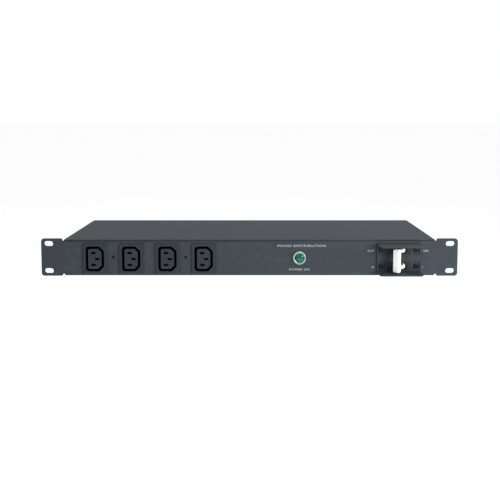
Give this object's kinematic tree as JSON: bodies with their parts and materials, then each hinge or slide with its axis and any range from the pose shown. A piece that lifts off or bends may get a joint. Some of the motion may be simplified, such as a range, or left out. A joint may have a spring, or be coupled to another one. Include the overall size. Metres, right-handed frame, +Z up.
{
  "type": "rack power strip",
  "caption": "One-unit rack-mount mains distribution chassis with a row of keyed outlets, a green pilot lamp and a guarded two-pole toggle circuit breaker.",
  "frame": {"origin": "centre of the four rack slots, on the back face of the ears where they seat on the rack's rails", "axes": "+X to the right of somebody facing the front panel, +Y into the rack, +Z up"},
  "size_m": [0.4826, 0.148, 0.0436],
  "materials": {
    "black_paint": "satin black powder coat with a fine even grain",
    "black_steel": "black zinc-plated screw steel, slightly shiny",
    "bright_steel": "zinc-plated steel",
    "bus_metal": "tinned brass strip",
    "contact_brass": "phosphor bronze spring contact",
    "lamp_chrome": "bright nickel plate",
    "green_lens": "translucent green lens",
    "clear_glass": "clear neon envelope",
    "outlet_plastic": "fine-grained black moulding",
    "inner_plastic": "black nylon",
    "breaker_case": "black phenolic moulding",
    "toggle_white": "white moulding",
    "coil_copper": "lacquered copper winding",
    "brown_insulation": "brown wire insulation",
    "blue_insulation": "blue wire insulation",
    "green_insulation": "green and yellow wire insulation",
    "lamp_insulation": "grey thin wire insulation",
    "crimp_sleeve": "red insulated crimp sleeve"
  },
  "bodies": {
    "chassis": {"arc_chutes": "bright_steel", "breaker_guard": "black_paint", "breaker_rivets": "bright_steel", "breaker_screws": "black_steel", "chassis_base": "black_paint", "clamp_screws": "bright_steel", "clamp_standoffs": "bright_steel", "contact_arm_pins": "bright_steel", "cover_nuts": "bright_steel", "cover_screws": "black_steel", "crimp_terminals": "crimp_sleeve", "earth_busbar": "bus_metal", "earth_nut": "bright_steel", "earth_stud": "bright_steel", "earth_washer": "bright_steel", "earth_wires": "green_insulation", "inlet_housing": "inner_plastic", "inlet_nuts": "bright_steel", "inlet_pins": "bus_metal", "inlet_screws": "black_steel", "lamp_base": "inner_plastic", "lamp_body": "lamp_chrome", "lamp_bulb": "clear_glass", "lamp_lens": "green_lens", "lamp_lock_washer": "bright_steel", "lamp_nut": "bright_steel", "lamp_terminals": "bus_metal", "lamp_wires": "lamp_insulation", "line_terminals": "bus_metal", "live_busbar": "bus_metal", "live_wires": "brown_insulation", "load_terminals": "bus_metal", "lower_pole_bottom_shell": "breaker_case", "lower_pole_top_shell": "breaker_case", "magnet_coils": "coil_copper", "magnet_yokes": "bright_steel", "neutral_busbar": "bus_metal", "neutral_wires": "blue_insulation", "outlet_1_contacts": "contact_brass", "outlet_1_housing": "outlet_plastic", "outlet_2_contacts": "contact_brass", "outlet_2_housing": "outlet_plastic", "outlet_3_contacts": "contact_brass", "outlet_3_housing": "outlet_plastic", "outlet_4_contacts": "contact_brass", "outlet_4_housing": "outlet_plastic", "outlet_clamps": "bright_steel", "outlet_screws": "black_steel", "terminal_nuts": "bright_steel", "toggle_pins": "bright_steel", "top_cover": "black_paint", "upper_pole_bottom_shell": "breaker_case", "upper_pole_top_shell": "breaker_case", "wire_clips": "inner_plastic"},
    "breaker_handle": {"upper_toggle": "toggle_white", "lower_toggle": "toggle_white", "toggle_tie_bar": "toggle_white", "toggle_cranks": "bright_steel"},
    "contact_carriage": {"contact_arms": "bus_metal"},
    "trip_armatures": {"armatures": "bright_steel"}
  },
  "joints": [
    {"name": "handle_toggle", "type": "hinge", "parent": "chassis", "child": "breaker_handle", "pos_m": [0.1782, -0.002, 0], "axis": [0, 0, 1], "range_deg": [0, 77]},
    {"name": "contact_close", "type": "hinge", "parent": "chassis", "child": "contact_carriage", "pos_m": [0.1751, 0.026, 0], "axis": [0, 0, 1], "range_deg": [-20, 0]},
    {"name": "armature_pull", "type": "hinge", "parent": "chassis", "child": "trip_armatures", "pos_m": [0.19475, 0.0214, 0], "axis": [0, 0, 1], "range_deg": [-4, 0], "stiffness_Nm_per_rad": 0.02}
  ],
  "couplings": [
    {"joint": "contact_close", "follows": "handle_toggle", "ratio": -0.25974}
  ]
}
